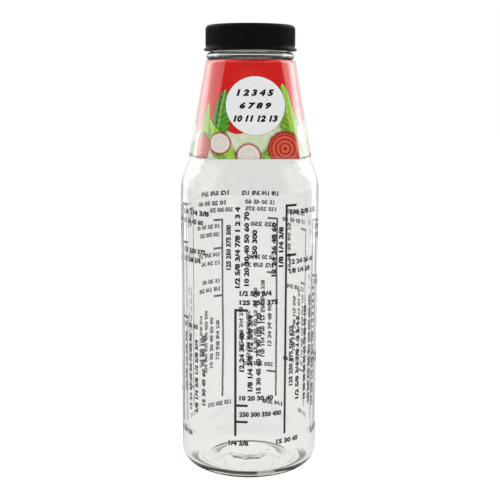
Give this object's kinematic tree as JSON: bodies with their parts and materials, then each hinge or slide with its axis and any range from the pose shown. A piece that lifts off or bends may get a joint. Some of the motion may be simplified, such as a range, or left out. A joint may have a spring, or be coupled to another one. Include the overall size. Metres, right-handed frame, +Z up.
{
  "type": "salad dressing shaker bottle",
  "caption": "Round clear glass bottle with a tapered neck, a black ribbed screw cap that unscrews and lifts, and a loose folded card sleeve round the neck; for mixing and pouring dressing.",
  "frame": {"origin": "centre of the bottle's foot, on the surface that it stands on", "axes": "+Z up along the bottle's axis, -Y out of the sleeve's front panel, +X to the right seen from the front"},
  "size_m": [0.064, 0.064, 0.2049],
  "materials": {
    "clear_glass": "clear flint glass, gloss, faint green in the thick foot",
    "black_plastic": "moulded polypropylene, satin",
    "white_foam": "closed-cell foam, matte",
    "printed_card": "printed card, gloss varnish",
    "black_enamel": "fired enamel print on the glass, satin"
  },
  "bodies": {
    "bottle": {"glass_bottle": "clear_glass"},
    "liner": {"cap_liner": "white_foam"},
    "cap": {"screw_cap": "black_plastic"},
    "sleeve": {"card_sleeve": "printed_card"}
  },
  "joints": [
    {"name": "cap_lift", "type": "slide", "parent": "bottle", "child": "liner", "axis": [0, 0, 1], "range_m": [0, 0.0127]},
    {"name": "cap_turn", "type": "hinge", "parent": "liner", "child": "cap", "pos_m": [0, 0, 0.1992], "axis": [0, 0, 1], "range_deg": [0, 1080]},
    {"name": "sleeve_turn", "type": "hinge", "parent": "bottle", "child": "sleeve", "pos_m": [0, 0, 0.1678], "axis": [0, 0, 1], "continuous": true}
  ],
  "couplings": [
    {"joint": "cap_lift", "follows": "cap_turn", "m_per_rad": 0.0006737}
  ]
}
